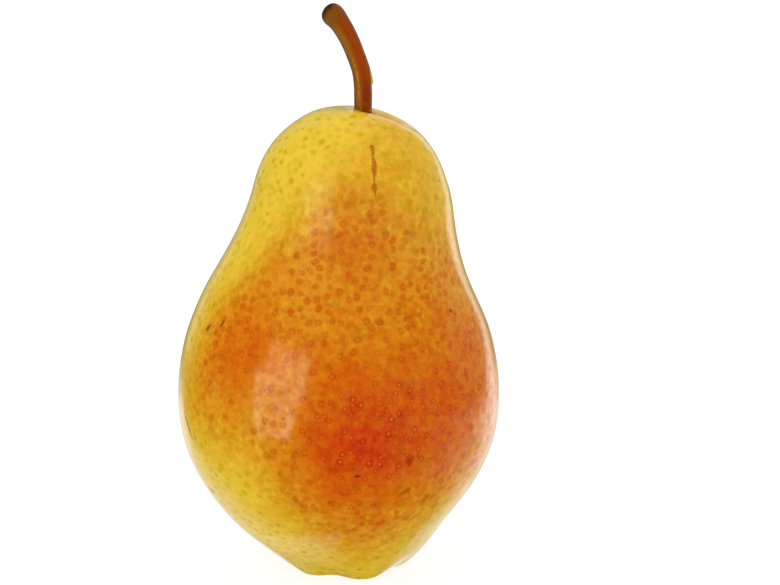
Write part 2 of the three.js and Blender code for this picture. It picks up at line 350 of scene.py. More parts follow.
def scatter(mesh, spacing, tries, rng):
    """Places no closer than spacing (mm) on the mesh, by throwing darts weighted by area."""
    points = mesh_points(mesh) / MM
    corners = np.array([p.vertices[:] for p in mesh.polygons if len(p.vertices) == 4])
    quads = points[corners]
    area = np.linalg.norm(np.cross(quads[:, 2] - quads[:, 0], quads[:, 3] - quads[:, 1]), axis=1)
    picks = rng.choice(len(quads), tries, p=area / area.sum())
    u, v = rng.random((2, tries, 1))
    q = quads[picks]
    darts = (q[:, 0] * (1 - u) * (1 - v) + q[:, 1] * u * (1 - v) + q[:, 2] * u * v
             + q[:, 3] * (1 - u) * v)
    taken = {}
    kept = []
    for dart in darts:
        cell = tuple((dart // spacing).astype(int))
        near = (taken.get((cell[0] + i, cell[1] + j, cell[2] + k))
                for i in (-1, 0, 1) for j in (-1, 0, 1) for k in (-1, 0, 1))
        if all(p is None or np.linalg.norm(dart - p) >= spacing for p in near):
            taken[cell] = dart
            kept.append(dart)
    return np.array(kept)


def nearest_of(places, mesh):
    """Index of the place that is nearest to the middle of each face."""
    tree = kdtree.KDTree(len(places))
    for index, place in enumerate(places):
        tree.insert(place, index)
    tree.balance()
    return np.array([tree.find(centre)[1] for centre in read_vectors(mesh.polygons, "center")])


PORE_SPACING = 1.45
PORE_TRIES = 26000
PORE_SHARE = 0.80


def add_pores(mesh):
    """Every face knows its nearest pore, so that the skin can draw each pore as a round spot."""
    rng = np.random.default_rng(SEED)
    pores = scatter(mesh, PORE_SPACING, PORE_TRIES, rng) * MM
    pores = pores[rng.random(len(pores)) < PORE_SHARE]
    owner = nearest_of(pores, mesh)
    store(mesh, "pore", "FACE", pores[owner])
    store(mesh, "pore_chance", "FACE", rng.random(len(pores))[owner])
    store(mesh, "pore_size", "FACE", rng.random(len(pores))[owner])
    store(mesh, "pore_zone", "FACE", ripeness(pores / MM)[owner])


# Marks on the skin: degrees round from the front, height, lean from upright in degrees, half
# length and half width in mm, softness of the edge, strength, colour.
BROWN = (0.36, 0.13, 0.002)
DARK = (0.30, 0.095, 0.001)
RUSSET = (0.39, 0.112, 0.001)
MARKS = (
    # Scratches on the left, and lines and specks near the edges of the outline.
    (-59.3, 52.5, 35, 1.2, 0.50, 0.6, 0.95, (0.22, 0.060, 0.006)),
    (-51.0, 53.8, 25, 1.0, 0.45, 0.6, 0.92, (0.22, 0.060, 0.006)),
    (-49.3, 51.8, 60, 0.9, 0.4, 0.7, 0.5, (0.42, 0.08, 0.004)),
    (-66.0, 33.0, -33, 3.2, 0.36, 0.5, 0.8, (0.12, 0.07, 0.01)),
    (-62.0, 19.3, -40, 0.6, 0.55, 0.5, 0.9, (0.16, 0.105, 0.02)),
    (-72.0, 79.5, 30, 1.0, 0.25, 0.4, 0.7, (0.12, 0.09, 0.03)),
    (67.8, 79.6, 80, 0.7, 0.25, 0.5, 0.6, (0.25, 0.14, 0.04)),
    # A bruise, specks and dashes low on the belly.
    (25.8, 29.6, 20, 1.5, 1.2, 1.0, 0.9, (0.29, 0.026, 0.001)),
    (7.2, 27.5, 85, 0.78, 0.36, 0.6, 0.92, (0.17, 0.026, 0.001)),
    (26.0, 23.1, 70, 1.1, 0.6, 0.9, 0.85, (0.25, 0.085, 0.002)),
    (49.8, 26.4, 10, 0.5, 0.35, 0.6, 0.6, BROWN),
    (43.1, 10.6, 15, 1.5, 0.3, 0.6, 0.5, (0.30, 0.13, 0.03)),
    (-64.0, 19.0, -30, 0.8, 0.35, 0.6, 0.6, (0.14, 0.08, 0.02)),
    # Small dots, the last of them green.
    (19.0, 56.2, 0, 0.36, 0.32, 0.5, 0.9, DARK),
    (28.7, 56.2, 0, 0.30, 0.28, 0.5, 0.85, DARK),
    (54.2, 55.5, 0, 0.42, 0.38, 0.5, 0.95, (0.20, 0.055, 0.001)),
    (28.0, 45.0, 0, 0.30, 0.28, 0.5, 0.8, DARK),
    (42.0, 41.2, 0, 0.32, 0.30, 0.5, 0.7, BROWN),
    (-18.0, 38.5, 0, 0.30, 0.30, 0.5, 0.85, (0.30, 0.14, 0.010)),
    (-26.0, 43.0, 0, 0.42, 0.40, 0.8, 0.7, (0.36, 0.22, 0.01)),
    # A smudge on the crown, and a few marks on the side and the back.
    (21.1, 91.1, 10, 0.8, 0.35, 0.9, 0.45, (0.36, 0.24, 0.03)),
    (152.0, 41.0, 40, 2.2, 0.8, 0.9, 0.5, (0.30, 0.17, 0.04)),
    (205.0, 58.0, 0, 0.5, 0.4, 0.6, 0.8, BROWN),
    (112.0, 55.0, 60, 0.9, 0.4, 0.6, 0.7, BROWN),
)

# The russet streak on the neck, and its half width as a share of its greatest, from its top to
# its bottom.
STREAK_TURN, STREAK_HEIGHT, STREAK_LEAN = 15.2, 82.7, math.radians(3.5)
STREAK_HALF_LENGTH, STREAK_HALF_WIDTH, STREAK_REACH = 5.6, 0.62, 6
STREAK_WIDTH = (
    (0.0, 0.0), (0.02, 0.75), (0.08, 0.80), (0.15, 0.45), (0.24, 0.50), (0.34, 0.85),
    (0.42, 1.0), (0.52, 0.75), (0.60, 0.25), (0.67, 0.25), (0.73, 0.85), (0.79, 1.0),
    (0.84, 0.40), (0.90, 0.14), (1.0, 0.0),
)


def surface_spot(mesh, turn, height):
    """Place, upward axis, sideways axis and outward axis at a turn from the front and height."""
    points = mesh_points(mesh) / MM
    off = (turn_from_front(points) - turn + 180) % 360 - 180
    reach = np.hypot(points[:, 0], points[:, 1])
    miss = (np.radians(off) * reach) ** 2 + (points[:, 2] - height) ** 2
    index = int(np.argmin(miss))
    outward = Vector(mesh_normals(mesh)[index])
    upward = (Vector((0, 0, 1)) - outward * outward.z).normalized()
    sideways = upward.cross(outward)
    return Vector(mesh_points(mesh)[index]), upward, sideways, outward


def add_marks(mesh):
    """Every face knows its nearest mark: its place, its axes over its size, and its colour."""
    rows = []
    for turn, height, lean, length, width, soft, strength, colour in MARKS:
        place, upward, sideways, _ = surface_spot(mesh, turn, height)
        angle = math.radians(lean)
        lengthwise = (upward * math.cos(angle) + sideways * math.sin(angle)) / (length * MM)
        crosswise = (sideways * math.cos(angle) - upward * math.sin(angle)) / (width * MM)
        rows.append((place, lengthwise, crosswise, colour, (soft, strength, 0)))
    columns = list(zip(*rows))
    owner = nearest_of(columns[0], mesh)
    for name, column in zip(("mark", "mark_long", "mark_wide", "mark_colour", "mark_edge"), columns):
        store(mesh, name, "FACE", np.array(column)[owner])


def add_streak(mesh):
    """Coordinates along and across the russet streak on the neck."""
    place, upward, sideways, outward = surface_spot(mesh, STREAK_TURN, STREAK_HEIGHT)
    offset = mesh_points(mesh) - np.array(place)
    lengthwise = upward * math.cos(STREAK_LEAN) + sideways * math.sin(STREAK_LEAN)
    crosswise = sideways * math.cos(STREAK_LEAN) - upward * math.sin(STREAK_LEAN)
    along = offset @ np.array(lengthwise) / (STREAK_HALF_LENGTH * MM)
    across = offset @ np.array(crosswise) / (STREAK_HALF_WIDTH * MM)
    depth = offset @ np.array(outward) / (STREAK_REACH * MM)
    store(mesh, "streak", "POINT", np.stack([along, across, depth], 1))


# ---------------------------------------------------------------- material helpers

class Shader:
    """The node tree of a material or the world, with short calls for the nodes used here."""

    def __init__(self, owner):
        self.owner = owner
        owner.use_nodes = True
        self.tree = owner.node_tree

    def add(self, kind, inputs=None, **settings):
        node = self.tree.nodes.new(kind)
        for key, value in settings.items():
            setattr(node, key, value)
        for key, value in (inputs or {}).items():
            self.feed(node.inputs[key], value)
        return node

    def feed(self, socket, value):
        if isinstance(value, bpy.types.NodeSocket):
            self.tree.links.new(value, socket)
        else:
            socket.default_value = value

    def math(self, operation, first, second=0.0, third=0.0, clamp=False):
        node = self.add("ShaderNodeMath", {0: first, 1: second, 2: third}, operation=operation)
        node.use_clamp = clamp
        return node.outputs[0]

    def vector(self, operation, first, second=None):
        inputs = {0: first} if second is None else {0: first, 1: second}
        node = self.add("ShaderNodeVectorMath", inputs, operation=operation)
        return node.outputs["Value" if operation in ("LENGTH", "DOT_PRODUCT") else "Vector"]

    def blend(self, factor, first, second, blend_type="MIX"):
        node = self.add("ShaderNodeMix", data_type="RGBA", blend_type=blend_type)
        self.feed(node.inputs[0], factor)
        self.feed(node.inputs[6], first if not isinstance(first, tuple) else (*first, 1))
        self.feed(node.inputs[7], second if not isinstance(second, tuple) else (*second, 1))
        return node.outputs[2]

    def ramp(self, value, stops, smooth=True):
        node = self.add("ShaderNodeValToRGB", {0: value})
        node.color_ramp.interpolation = "EASE" if smooth else "LINEAR"
        elements = node.color_ramp.elements
        while len(elements) < len(stops):
            elements.new(0.5)
        for element, (place, colour) in zip(elements, stops):
            element.position = place
            element.color = (*colour, 1) if isinstance(colour, tuple) else (colour,) * 3 + (1,)
        return node.outputs[0]

    def fade(self, value, start, end, low=1.0, high=0.0):
        """Runs smoothly from low at start to high at end."""
        node = self.add("ShaderNodeMapRange", interpolation_type="SMOOTHSTEP")
        for socket, number in zip(node.inputs, (value, start, end, low, high)):
            self.feed(socket, number)
        return node.outputs[0]

    def grow(self, value, start, end, high=1.0):
        """Runs smoothly from nothing at start to high at end."""
        return self.fade(value, start, end, 0.0, high)

    def hill(self, value, centre, reach):
        """A smooth hill, 1 high, over the values round a centre."""
        off = self.math("DIVIDE", self.math("SUBTRACT", value, centre), reach)
        return self.math("EXPONENT", self.math("MULTIPLY", self.math("MULTIPLY", off, off), -1.0))

    def times(self, *factors):
        total = factors[0]
        for factor in factors[1:]:
            total = self.math("MULTIPLY", total, factor)
        return total

    def plus(self, value, extra, share):
        """A value with a share of another on top."""
        return self.math("MULTIPLY_ADD", extra, share, value)

    def noise(self, vector, scale, detail=2.0, roughness=0.5):
        node = self.add("ShaderNodeTexNoise", {"Vector": vector, "Scale": scale})
        node.inputs["Detail"].default_value = detail
        node.inputs["Roughness"].default_value = roughness
        return node.outputs[0]

    def split(self, vector):
        return self.add("ShaderNodeSeparateXYZ", {0: vector}).outputs

    def bump(self, relief, strength, depth):
        """The normal of a relief that is depth mm high where its value is 1."""
        inputs = {"Height": relief, "Strength": strength, "Distance": depth * MM}
        return self.add("ShaderNodeBump", inputs).outputs[0]

    def attribute(self, name, output="Fac"):
        return self.add("ShaderNodeAttribute", attribute_name=name).outputs[output]

    def place(self):
        return self.add("ShaderNodeTexCoord").outputs["Object"]

    def finish(self, **sockets):
        for name, value in sockets.items():
            self.feed(self.tree.nodes["Principled BSDF"].inputs[name.replace("_", " ")], value)
        return self.owner


def per_mm(wavelength):
    """Noise scale, per metre, for a wavelength in mm."""
    return 1 / (wavelength * MM)


# ---------------------------------------------------------------- materials

# Colour of the skin by ripeness.
SKIN_STOPS = (
    (0.00, (0.56, 0.49, 0.040)),
    (0.18, (0.71, 0.49, 0.034)),
    (0.36, (0.645, 0.305, 0.012)),
    (0.56, (0.605, 0.184, 0.004)),
    (0.76, (0.58, 0.112, 0.002)),
    (1.00, (0.55, 0.050, 0.002)),
    (1.25, (0.50, 0.016, 0.001)),
)
RIPEST = SKIN_STOPS[-1][0]
OLIVE = (0.51, 0.373, 0.0005)
SHADE = (0.70, 0.55, 0.40)
PORE_MIDDLE = (0.82, 0.24, 0.030)
SPECK_GREEN = (0.24, 0.16, 0.001)

# Patches at the ends of the fruit: colour, middle, and how far they reach each way, in mm.
TAN, TROUGH_PATCH, TROUGH_REACH = (0.55, 0.33, 0.075), (10.4, 1.4, 90.0), (6.2, 3.2, 5.0)
RUSSET_COLLAR, COLLAR_PATCH, COLLAR_REACH = (0.34, 0.15, 0.02), (5.0, 0.9, 90.0), (2.9, 2.9, 9.0)
BASIN_GREEN, BASIN_PATCH, BASIN_REACH = (0.24, 0.17, 0.014), (CALYX_X, 0.0, 5.0), (7.0, 7.0, 6.5)

WAX_IOR = 1.42
MARK_REACH = 12
SKIN_RELIEF = 0.06
SUBSURFACE_WEIGHT, SUBSURFACE_REACH, SUBSURFACE_TONE = 0.08, 1.0, (1.0, 0.45, 0.15)

# Bark near the fruit and further up, on the ochre plane and on the red-brown one.
STEM_OCHRES = (0.298, 0.083, 0.002), (0.24, 0.0787, 0.0013)
STEM_REDS = (0.205, 0.0240, 0.0008), (0.265, 0.0375, 0.0004)
# Painted shade over the right side of the stem, away from the light.
STEM_PAINTED_SHADE = (0.125, 0.0192, 0.003)
# Painted shade along the left edge of the stem.
STEM_PAINTED_EDGE_SHADE = (0.115, 0.035, 0.002)
STEM_ORANGE = (0.346, 0.101, 0.003)
STEM_DARK_FIBRE = (0.080, 0.0190, 0.0010)
# Painted highlight on the crests of the stem's ridges.
STEM_PAINTED_HIGHLIGHT = (0.46, 0.185, 0.025)
STEM_SCAR = (0.481, 0.332, 0.011)
STEM_KNOB = (0.150, 0.056, 0.003)
STEM_CAP = (0.028, 0.0134, 0.0022)
STEM_GLOSS, STEM_GRAIN_DEPTH = 0.06, 0.14

CALYX_STOPS = (
    (0.1, (0.030, 0.016, 0.008)),
    (0.4, (0.11, 0.055, 0.022)),
    (0.7, (0.26, 0.16, 0.070)),
    (0.9, (0.40, 0.29, 0.15)),
)
CALYX_FOOT, CALYX_REACH = (CALYX_X, 0.0, 4.5), (6.0, 6.0, 12.0)
CALYX_ROUGHNESS, CALYX_GRAIN_DEPTH = 0.85, 0.2

FLOOR_STOPS = ((0.3, (0.24, 0.24, 0.24)), (0.7, (0.26, 0.26, 0.26)))
FLOOR_ROUGHNESS, FLOOR_GLOSS, FLOOR_GLOW = 0.9, 0.1, 0.83


def add_part(s, value, noise_value, amount):
    """Adds a share of a noise that swings round a half."""
    return s.plus(value, s.math("SUBTRACT", noise_value, 0.5), amount)


def reach_from(s, place, centre, reach):
    """Distance from a centre, in shares of how far a patch reaches each way; all in mm."""
    away = s.vector("SUBTRACT", place, tuple(value * MM for value in centre))
    return s.vector("LENGTH", s.vector("MULTIPLY", away, tuple(per_mm(value) for value in reach)))


def skin_ground(s, place, mottle, height):
    """Ripeness of the ground: clouds and streaks, which the blush makes stronger."""
    clouds = add_part(s, 0.0, s.noise(place, per_mm(9.0), 3.0, 0.55), 0.19)
    clouds = add_part(s, clouds, mottle, 0.36)
    clouds = add_part(s, clouds, s.noise(place, per_mm(1.5), 3.0, 0.6), 0.42)
    upright = s.vector("MULTIPLY", place, (1.0, 1.0, 0.28))
    clouds = add_part(s, clouds, s.noise(upright, per_mm(2.2), 2.0, 0.55), 0.16)
    level = s.vector("MULTIPLY", place, (0.4, 0.4, 1.5))
    bands = s.noise(level, per_mm(2.6), 2.0, 0.55)
    clouds = add_part(s, clouds, bands, s.fade(height, 14 * MM, 30 * MM, 0.34, 0.0))
    ripe = s.attribute("ripe")
    clouds = s.times(clouds, s.fade(ripe, 0.18, 0.52, 0.34, 0.92),
                     s.fade(ripe, 0.74, 0.94, 1.0, 1.7))
    return s.math("ADD", clouds, ripe)


def skin_pores(s, place):
    """The nearest pore: its soft aura, the halo and the pale middle that it has in the blush, and
    the dark point in a few; how far it lies in the blush, and a random number of its own."""
    chance = s.attribute("pore_chance")
    size = s.attribute("pore_size")
    zone = s.attribute("pore_zone")
    second = s.math("FRACT", s.times(chance, 7.0))
    straight = s.vector("LENGTH", s.vector("SUBTRACT", place, s.attribute("pore", "Vector")))
    ragged = add_part(s, straight, s.noise(place, per_mm(1.3), 3.0, 0.6), 2.1 * MM)
    blushed = s.grow(zone, 0.25, 0.46)

    in_red = s.fade(zone, 0.45, 0.72, 1.0, 0.66)
    reach = s.plus(0.66 * MM, size, 0.50 * MM)
    reach = s.times(reach, in_red, s.fade(zone, 0.16, 0.36, 0.90, 1.05))
    aura = s.times(s.fade(s.math("DIVIDE", ragged, reach), -0.2, 1.35), in_red,
                   s.fade(chance, 0.0, 1.0, 0.32, 1.0), s.fade(straight, 0.80 * MM, 1.35 * MM))

    wobbly = add_part(s, straight, s.noise(place, per_mm(0.9), 2.0), 0.75 * MM)
    crest = s.plus(0.32 * MM, size, 0.16 * MM)
    from_crest = s.math("ABSOLUTE", s.math("SUBTRACT", wobbly, crest))
    ringed = s.times(blushed, s.fade(second, 0.0, 0.9, 0.2, 1.0))
    halo = s.times(s.fade(from_crest, 0.0, 0.46 * MM), ringed)
    middle = s.times(s.fade(wobbly, 0.02 * MM, 0.38 * MM), ringed, s.grow(zone, 0.34, 0.62))
    point = s.times(s.fade(straight, 0.08 * MM, 0.24 * MM), s.grow(chance, 0.88, 0.90, 0.75),
                    s.fade(zone, 0.30, 0.50))
    return SimpleNamespace(aura=aura, halo=halo, middle=middle, point=point, blushed=blushed,
                           second=second)


def skin_mark(s, place):
    """How strongly the nearest mark covers the skin."""
    from_mark = s.vector("SUBTRACT", place, s.attribute("mark", "Vector"))
    u = s.vector("DOT_PRODUCT", from_mark, s.attribute("mark_long", "Vector"))
    v = s.vector("DOT_PRODUCT", from_mark, s.attribute("mark_wide", "Vector"))
    depth = s.times(s.vector("LENGTH", from_mark), 1 / (MARK_REACH * MM))
    spread = s.vector("LENGTH", s.add("ShaderNodeCombineXYZ", {0: u, 1: v, 2: depth}).outputs[0])
    spread = add_part(s, spread, s.noise(place, per_mm(0.7), 2.0), 1.1)
    soft, strength, _ = s.split(s.attribute("mark_edge", "Vector"))
    return s.times(s.fade(spread, s.math("SUBTRACT", 1.15, soft), 1.25), strength)


def skin_streak(s, place):
    """The russet streak on the neck, whose width swells and narrows along its length."""
    along, across, depth = s.split(s.attribute("streak", "Vector"))
    width = s.ramp(s.plus(0.5, along, -0.5), STREAK_WIDTH)
    wobble = add_part(s, across, s.noise(place, per_mm(1.5), 3.0), 1.5)
    off = s.math("DIVIDE", s.math("ABSOLUTE", wobble), s.math("MAXIMUM", width, 0.02))
    inside = s.times(s.fade(s.math("ABSOLUTE", along), 0.98, 1.0), s.grow(depth, -1.0, -0.8))
    wear_and_highlight = s.fade(s.noise(place, per_mm(0.6), 2.0), 0.25, 0.5, 0.5, 1.0)
    return s.times(s.fade(off, 0.6, 1.3), s.times(inside, wear_and_highlight))


def skin_tone(s, ground, pores):
    """Colour by ripeness. Pores are olive on the yellow ground, and riper and darker in the blush."""
    redder = s.times(pores.blushed, s.fade(pores.second, 0.0, 1.0, 0.08, 0.24))
    riper = s.times(pores.aura, s.math("ADD", redder, 0.02))
    ripe = s.math("ADD", ground, s.plus(riper, pores.halo, 0.07))
    stops = [(level / RIPEST, tone) for level, tone in SKIN_STOPS]
    colour = s.ramp(s.math("DIVIDE", ripe, RIPEST), stops, smooth=False)
    greener = s.times(pores.blushed, s.fade(pores.second, 0.0, 1.0, -0.98, -1.10))
    olive = s.times(pores.aura, s.math("ADD", greener, 1.15))
    colour = s.blend(olive, colour, OLIVE)
    return s.blend(s.times(0.24, pores.aura, pores.blushed), colour, SHADE, "MULTIPLY")


def freckled(s, place, colour):
    """Darker freckles and blots under the wax, stronger where the skin is riper."""
    ripe = s.attribute("ripe")
    freckles = s.fade(s.noise(place, per_mm(0.9), 4.0, 0.7), 0.36, 0.66)
    strength = s.fade(ripe, 0.16, 0.46, 0.20, 0.42)
    colour = s.blend(s.times(freckles, strength), colour, SHADE, "MULTIPLY")
    blots = s.grow(s.noise(place, per_mm(2.2), 2.0, 0.55), 0.50, 0.70, 0.44)
    strength = s.fade(ripe, 0.18, 0.42, 0.25, 1.0)
    return s.blend(s.times(blots, strength), colour, SHADE, "MULTIPLY")


def with_pores(s, colour, pores):
    """Dark halos, pale middles and dark points."""
    strength = s.fade(s.attribute("pore_zone"), 0.70, 0.92, 0.29, 0.46)
    colour = s.blend(s.times(pores.halo, strength), colour, SHADE, "MULTIPLY")
    colour = s.blend(s.times(pores.middle, strength), colour, PORE_MIDDLE)
    return s.blend(pores.point, colour, SPECK_GREEN)


def with_patches(s, place, mottle, colour):
    """Tan in the trough by the stem, russet round its foot, dull green in the calyx basin."""
    trough = reach_from(s, place, TROUGH_PATCH, TROUGH_REACH)
    colour = s.blend(s.fade(trough, 0.45, 1.10, 0.80, 0.0), colour, TAN)
    collar = add_part(s, reach_from(s, place, COLLAR_PATCH, COLLAR_REACH), mottle, 0.7)
    colour = s.blend(s.fade(collar, 0.62, 1.0, 0.65, 0.0), colour, RUSSET_COLLAR)
    basin = add_part(s, reach_from(s, place, BASIN_PATCH, BASIN_REACH), mottle, 0.5)
    return s.blend(s.fade(basin, 0.45, 1.05, 0.75, 0.0), colour, BASIN_GREEN)


def skin_relief(s, place, russet, pores):
    """Fine relief: shallow pores, a waxy grain, and rougher russet."""
    grain = s.noise(place, per_mm(1.6), 4.0, 0.55)
    relief = s.plus(s.times(pores.aura, -0.25), grain, 1.1)
    relief = s.plus(relief, russet, 1.0)
    return s.bump(relief, 0.30, SKIN_RELIEF)


def skin_roughness(s, place, height, russet, mark):
    """The wax is rougher on the neck, on the russet and on the marks, and smooth when glancing."""
    rough = s.fade(height, 56 * MM, 70 * MM, 0.11, 0.19)
    rough = add_part(s, rough, s.noise(place, per_mm(3.0), 3.0), 0.14)
    rough = s.plus(rough, russet, 0.08)
    rough = s.plus(rough, mark, 0.06)
    glancing = s.add("ShaderNodeLayerWeight", {"Blend": 0.5}).outputs["Facing"]
    return s.times(rough, s.fade(glancing, 0.45, 0.90, 1.0, 0.50))


def skin_shine(s, place, height, russet, mark, pores):
    """The wax shines in patches, less on the neck, and is dull on marks, russet and pores."""
    shine = s.fade(s.noise(place, per_mm(2.0), 4.0, 0.65), 0.36, 0.62, 0.64, 0.24)
    dull = s.math("MAXIMUM", s.math("MAXIMUM", mark, pores.point), s.times(russet, 0.6))
    dull = s.math("MAXIMUM", dull, s.times(pores.aura, 0.38))
    return s.times(shine, s.plus(1.0, dull, -0.85),
                   s.fade(height, 56 * MM, 68 * MM, 1.0, 0.84))


def skin_material():
    s = Shader(bpy.data.materials.new("pear_skin"))
    place = s.place()
    height = s.split(place)[2]
    mottle = s.noise(place, per_mm(3.4), 3.0, 0.6)
    pores = skin_pores(s, place)
    mark = skin_mark(s, place)
    russet = skin_streak(s, place)

    colour = skin_tone(s, skin_ground(s, place, mottle, height), pores)
    colour = with_pores(s, freckled(s, place, colour), pores)
    colour = with_patches(s, place, mottle, colour)
    colour = s.blend(mark, colour, s.attribute("mark_colour", "Color"))
    colour = s.blend(s.times(russet, 0.96), colour, RUSSET)
    return s.finish(
        Base_Color=colour, Roughness=skin_roughness(s, place, height, russet, mark),
        Normal=skin_relief(s, place, russet, pores),
        Specular_IOR_Level=skin_shine(s, place, height, russet, mark, pores), IOR=WAX_IOR,
        Subsurface_Weight=SUBSURFACE_WEIGHT, Subsurface_Radius=SUBSURFACE_TONE,
        Subsurface_Scale=SUBSURFACE_REACH * MM)


def stem_material():
    s = Shader(bpy.data.materials.new("stem_bark"))
    place = s.place()
    bands = s.attribute("bands", "Vector")
    side, along, _ = s.split(bands)
    stretched = s.vector("MULTIPLY", bands, (1.0, 0.35, 1.0))
    fibre = s.noise(stretched, 5.0, 4.0, 0.62)
    patch = s.noise(place, per_mm(2.6), 3.0, 0.6)
    uneven = add_part(s, side, fibre, 0.9)

    # Ochre on one plane and red-brown on the next; orange near the fruit; purplish painted shade over
    # the right side, and darker painted shade along the left edge.
    high = s.grow(add_part(s, along, patch, 0.25), 0.25, 0.55)
    ochre = s.blend(high, *STEM_OCHRES)
    red = s.blend(high, *STEM_REDS)
    colour = s.blend(s.grow(uneven, -0.30, 0.05), ochre, red)
    colour = s.blend(s.grow(uneven, 0.62, 1.0, 0.6), colour, STEM_PAINTED_SHADE)
    colour = s.blend(s.fade(uneven, -1.0, -0.78, 0.55, 0.0), colour, STEM_PAINTED_EDGE_SHADE)
    colour = s.blend(s.grow(patch, 0.50, 0.72, 0.55), colour, STEM_ORANGE)
    colour = s.blend(s.fade(fibre, 0.28, 0.48, 0.75, 0.0), colour, STEM_DARK_FIBRE)

    # Painted highlight along the crests of the ridges, broken up, strongest on the left and lower
    # down.
    wear_and_highlight = s.times(s.grow(s.attribute("crest"), 0.80, 0.99),
                   s.fade(s.noise(place, per_mm(1.6), 3.0, 0.6), 0.38, 0.56, 0.1, 0.75))
    wear_and_highlight = s.times(wear_and_highlight, s.fade(side, 0.0, 0.45, 1.0, 0.2), s.fade(along, 0.45, 0.72, 1.0, 0.25))
    colour = s.blend(wear_and_highlight, colour, STEM_PAINTED_HIGHLIGHT)

    # The bract scar is a yellow-green sliver.
    scar = s.grow(s.attribute("scar"), 0.22, 0.55)
    colour = s.blend(scar, colour, STEM_SCAR)

    # The swollen end is greyer, and its broken tip is nearly black.
    knob = s.grow(add_part(s, along, patch, 0.10), 0.78, 0.95, 0.75)
    colour = s.blend(knob, colour, STEM_KNOB)
    cap = s.grow(add_part(s, along, fibre, 0.05), 0.935, 0.985, 0.93)
    colour = s.blend(cap, colour, STEM_CAP)

    relief = s.plus(fibre, s.noise(place, per_mm(0.45), 3.0), 0.35)
    rough = s.plus(0.26, fibre, 0.25)
    rough = s.plus(rough, cap, 0.3)
    return s.finish(
        Base_Color=colour, Roughness=rough, Normal=s.bump(relief, 0.55, STEM_GRAIN_DEPTH),
        IOR=WAX_IOR, Specular_IOR_Level=STEM_GLOSS)


def calyx_material():
    """Dry and papery: dark brown at the foot, paler and greyer towards the tips of the sepals."""
    s = Shader(bpy.data.materials.new("dried_calyx"))
    place = s.place()
    patch = s.noise(place, per_mm(1.4), 4.0, 0.65)
    out = reach_from(s, place, CALYX_FOOT, CALYX_REACH)
    tone = add_part(s, s.fade(out, 0.2, 0.95, 0.15, 0.65), patch, 1.1)
    relief = s.noise(place, per_mm(0.4), 4.0, 0.7)
    return s.finish(Base_Color=s.ramp(tone, CALYX_STOPS), Roughness=CALYX_ROUGHNESS,
                    Normal=s.bump(relief, 0.8, CALYX_GRAIN_DEPTH))


def floor_material():
    s = Shader(bpy.data.materials.new("floor_paper"))
    colour = s.ramp(s.noise(s.place(), per_mm(1.5), 3.0, 0.6), FLOOR_STOPS)
    return s.finish(Base_Color=colour, Roughness=FLOOR_ROUGHNESS, Specular_IOR_Level=FLOOR_GLOSS,
                    Emission_Color=(1, 1, 1, 1), Emission_Strength=FLOOR_GLOW)


# ---------------------------------------------------------------- pieces

def build_fruit():
    mesh = fruit_mesh()
    store(mesh, "ripe", "POINT", ripeness(mesh_points(mesh) / MM))
    add_pores(mesh)
    add_marks(mesh)
    add_streak(mesh)
    return add_piece("fruit_skin", mesh, "fruit_body", skin_material())


def stem_frames(shares):
    """Centres and two cross axes of the stem at the given shares of its length, in mm."""
    centre = natural_spline(STEM_LINE, shares)
    step = STEM_TANGENT_STEP
    forward = natural_spline(STEM_LINE, np.clip(shares + step, 0, 1)) - natural_spline(
        STEM_LINE, np.clip(shares - step, 0, 1))
    forward /= np.linalg.norm(forward, axis=1)[:, None]
    side = np.cross((0, 1, 0), forward)
    side /= np.linalg.norm(side, axis=1)[:, None]
    return centre, side, np.cross(forward, side)


def build_stem():
    outline = natural_spline(STEM_RADIUS, crowded_shares(STEM_STEPS))
    radius = np.maximum(outline[1:-1, :1], STEM_THINNEST)
    share = np.clip(outline[1:-1, 1:] / STEM_LENGTH, 0, 1)
    azimuth = np.linspace(0, 2 * math.pi, STEM_ROUND_STEPS, endpoint=False)[None, :]
    turned = (azimuth + math.pi) % (2 * math.pi) - math.pi
    ridge = STEM_RIDGE_HEIGHT * np.cos(STEM_RIDGES * (azimuth - STEM_RIDGE_AZIMUTH))
    beyond = share - BRACT_SHARE
    fading = beyond / np.where(beyond > 0, BRACT_ABOVE, BRACT_BELOW)
    scar = BRACT_HEIGHT * np.exp(-fading ** 2 - (turned / BRACT_WIDTH) ** 2)
    wide = radius + (ridge + scar) * smoothstep(radius, *STEM_RELIEF_RADII)
    centre, side, across = stem_frames(share[:, 0])
    rings = (centre[:, None] + side[:, None] * (wide * np.cos(azimuth))[..., None]
             + across[:, None] * (wide * np.sin(azimuth))[..., None])
    mesh = ring_mesh("stem", rings, centre[0], centre[-1])
    bands = np.stack(np.broadcast_arrays(np.cos(azimuth), share, np.sin(azimuth)), -1)
    ends = [[0, 0, 0], [0, 1, 0]]
    store(mesh, "bands", "POINT", np.concatenate([bands.reshape(-1, 3), ends]))
    for name, values in (("crest", ridge / STEM_RIDGE_HEIGHT), ("scar", scar / BRACT_HEIGHT)):
        values = np.broadcast_to(values, wide.shape).ravel()
        store(mesh, name, "POINT", np.concatenate([values, [0, 0]]))
    return add_piece("stem_bark", mesh, "stem", stem_material())


def grid_faces(rows, columns, first, flip=False):
    """Quads of a rows x columns grid of points that starts at index first."""
    faces = []
    for i in range(rows - 1):
        for j in range(columns - 1):
            a = first + i * columns + j
            quad = (a, a + 1, a + columns + 1, a + columns)
            faces.append(quad[::-1] if flip else quad)
    return faces


def sepal_line(share, tip_lift):
    """Places and directions, as (radius, height), along the middle of a sepal."""
    start, bend = np.array(SEPAL_START), np.array(SEPAL_BEND)
    end = np.array((SEPAL_END[0], SEPAL_END[1] + tip_lift))
    share = share[..., None]
    centre = (1 - share) ** 2 * start + 2 * share * (1 - share) * bend + share ** 2 * end
    tangent = 2 * (1 - share) * (bend - start) + 2 * share * (end - bend)
    return centre, tangent / np.linalg.norm(tangent, axis=-1)[..., None]


